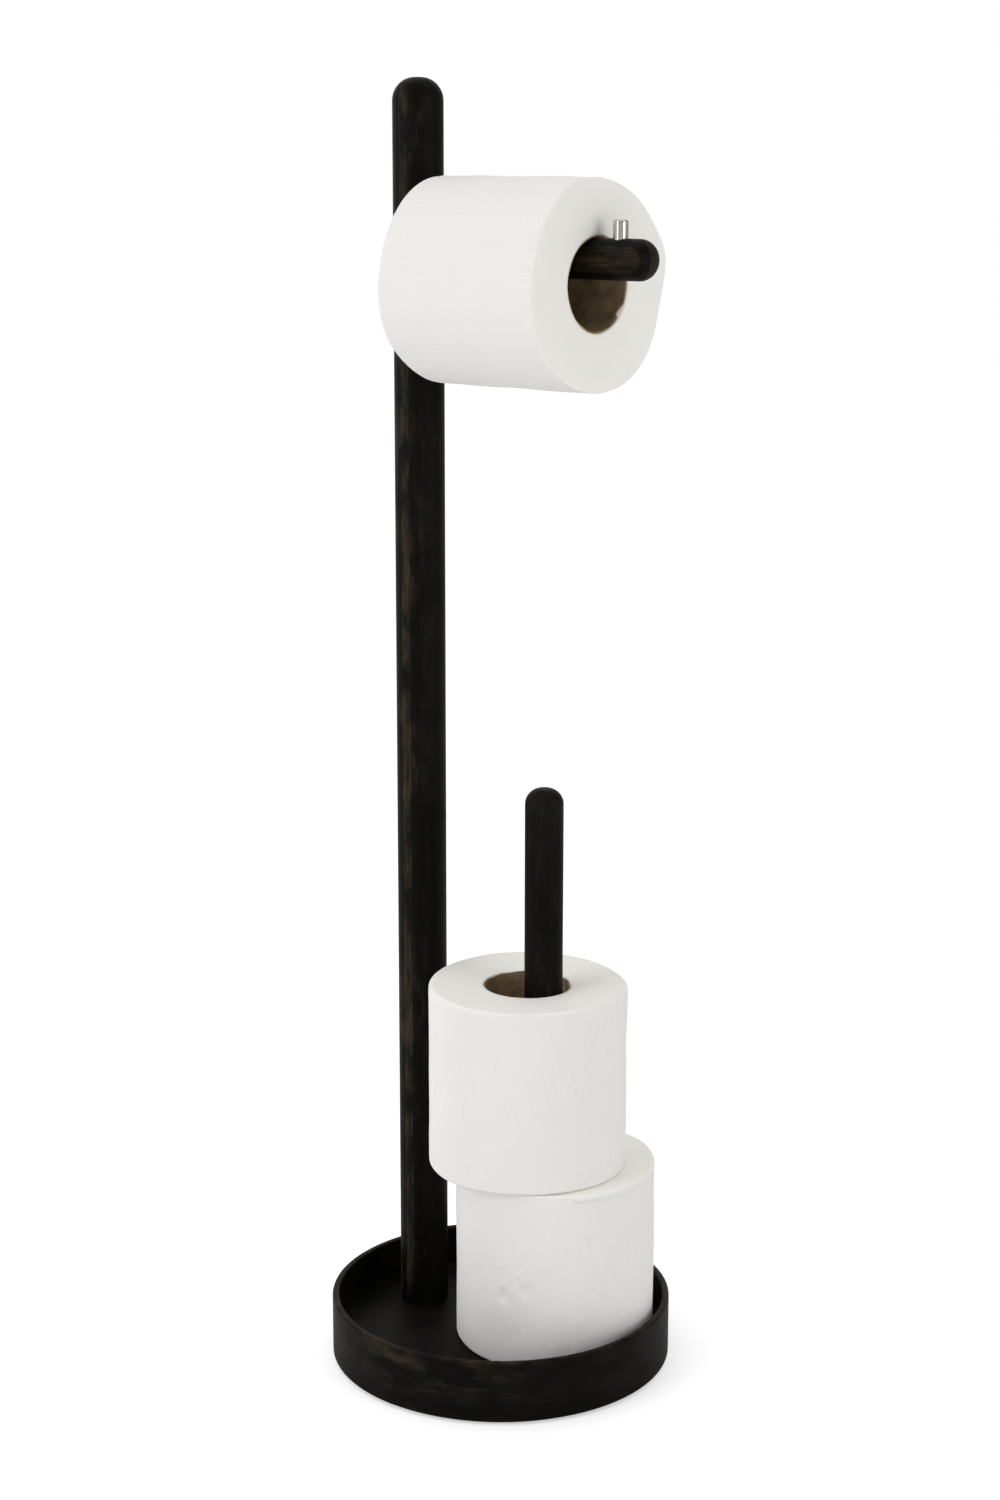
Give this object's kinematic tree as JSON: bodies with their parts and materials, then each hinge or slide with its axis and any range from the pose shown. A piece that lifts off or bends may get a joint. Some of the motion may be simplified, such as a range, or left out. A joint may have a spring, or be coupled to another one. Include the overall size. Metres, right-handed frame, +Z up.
{
  "type": "toilet paper holder",
  "caption": "Free-standing toilet paper holder: a round stained wooden tray with a tall post, a side arm with a stop pin for the roll in use, and a spindle for spare rolls.",
  "frame": {"origin": "centre of the underside of the felt pad, which lies on the ground under the middle of the tray", "axes": "+Z up along the post; +X along the arm, from the post towards the arm's tip; the post, arm, spindle and tray centre lie in the plane Y = 0"},
  "size_m": [0.1853, 0.182, 0.672],
  "materials": {
    "stained_wood": "satin black stain with thin warm brown grain streaks",
    "plain_wood": "matte",
    "stainless_steel": "satin",
    "ballast_steel": "matte",
    "fastener_steel": "satin",
    "insert_brass": "satin",
    "felt": "matte",
    "tissue_paper": "matte, softly embossed",
    "kraft_board": "matte"
  },
  "bodies": {
    "stand": {"tray_wall": "stained_wood", "tray_floor": "stained_wood", "base_pad": "felt", "ballast_plate": "ballast_steel", "ballast_screws": "fastener_steel", "post": "stained_wood", "post_bolt": "fastener_steel", "post_washer": "fastener_steel", "post_insert": "insert_brass", "locating_dowel": "plain_wood", "arm": "stained_wood", "stop_pin": "stainless_steel", "spindle": "stained_wood", "spindle_bolt": "fastener_steel", "spindle_washer": "fastener_steel", "spindle_insert": "insert_brass"},
    "hanging_roll": {"hanging_roll_paper": "tissue_paper", "hanging_roll_core": "kraft_board"},
    "lower_roll": {"lower_roll_paper": "tissue_paper", "lower_roll_core": "kraft_board"},
    "upper_roll": {"upper_roll_paper": "tissue_paper", "upper_roll_core": "kraft_board"}
  },
  "joints": [
    {"name": "hanging_roll_turn", "type": "hinge", "parent": "stand", "child": "hanging_roll", "pos_m": [0.0126, 0, 0.5728], "axis": [1, 0, 0], "continuous": true},
    {"name": "lower_roll_lift", "type": "slide", "parent": "stand", "child": "lower_roll", "axis": [0, 0, 1], "range_m": [0, 0.1]},
    {"name": "upper_roll_lift", "type": "slide", "parent": "lower_roll", "child": "upper_roll", "axis": [0, 0, 1], "range_m": [0, 0.2]}
  ]
}
